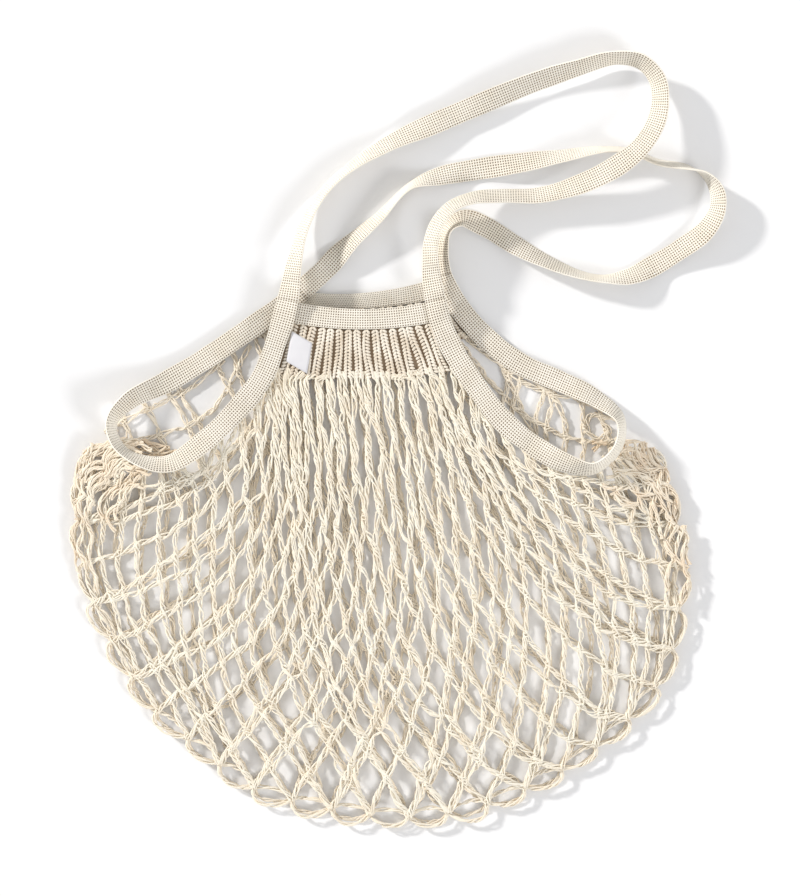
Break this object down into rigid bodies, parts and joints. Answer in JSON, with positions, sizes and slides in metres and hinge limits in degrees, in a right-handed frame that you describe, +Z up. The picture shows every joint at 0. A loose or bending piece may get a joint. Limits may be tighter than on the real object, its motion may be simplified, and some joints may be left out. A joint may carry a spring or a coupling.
{
  "type": "string shopping bag",
  "caption": "Cream cotton net shopping bag lying flat, with woven tape edging, a ribbed yoke and two tape handles thrown to one side.",
  "frame": {"origin": "on the table below the middle of the bag and its handles, as they lie", "axes": "+Z up from the table, +Y from the net towards the mouth and handles, +X to the right"},
  "size_m": [0.456, 0.5426, 0.0298],
  "materials": {
    "woven_tape": "matte",
    "cotton_knit": "matte",
    "label_cloth": "matte"
  },
  "bodies": {
    "root": {"left_edging_tape": "woven_tape", "right_edging_tape": "woven_tape", "front_handle": "woven_tape", "back_handle": "woven_tape", "front_top_band": "woven_tape", "back_top_band": "woven_tape", "front_net": "cotton_knit", "back_net": "cotton_knit", "front_rib_panel": "cotton_knit", "back_rib_panel": "cotton_knit", "side_label": "label_cloth"}
  },
  "joints": []
}
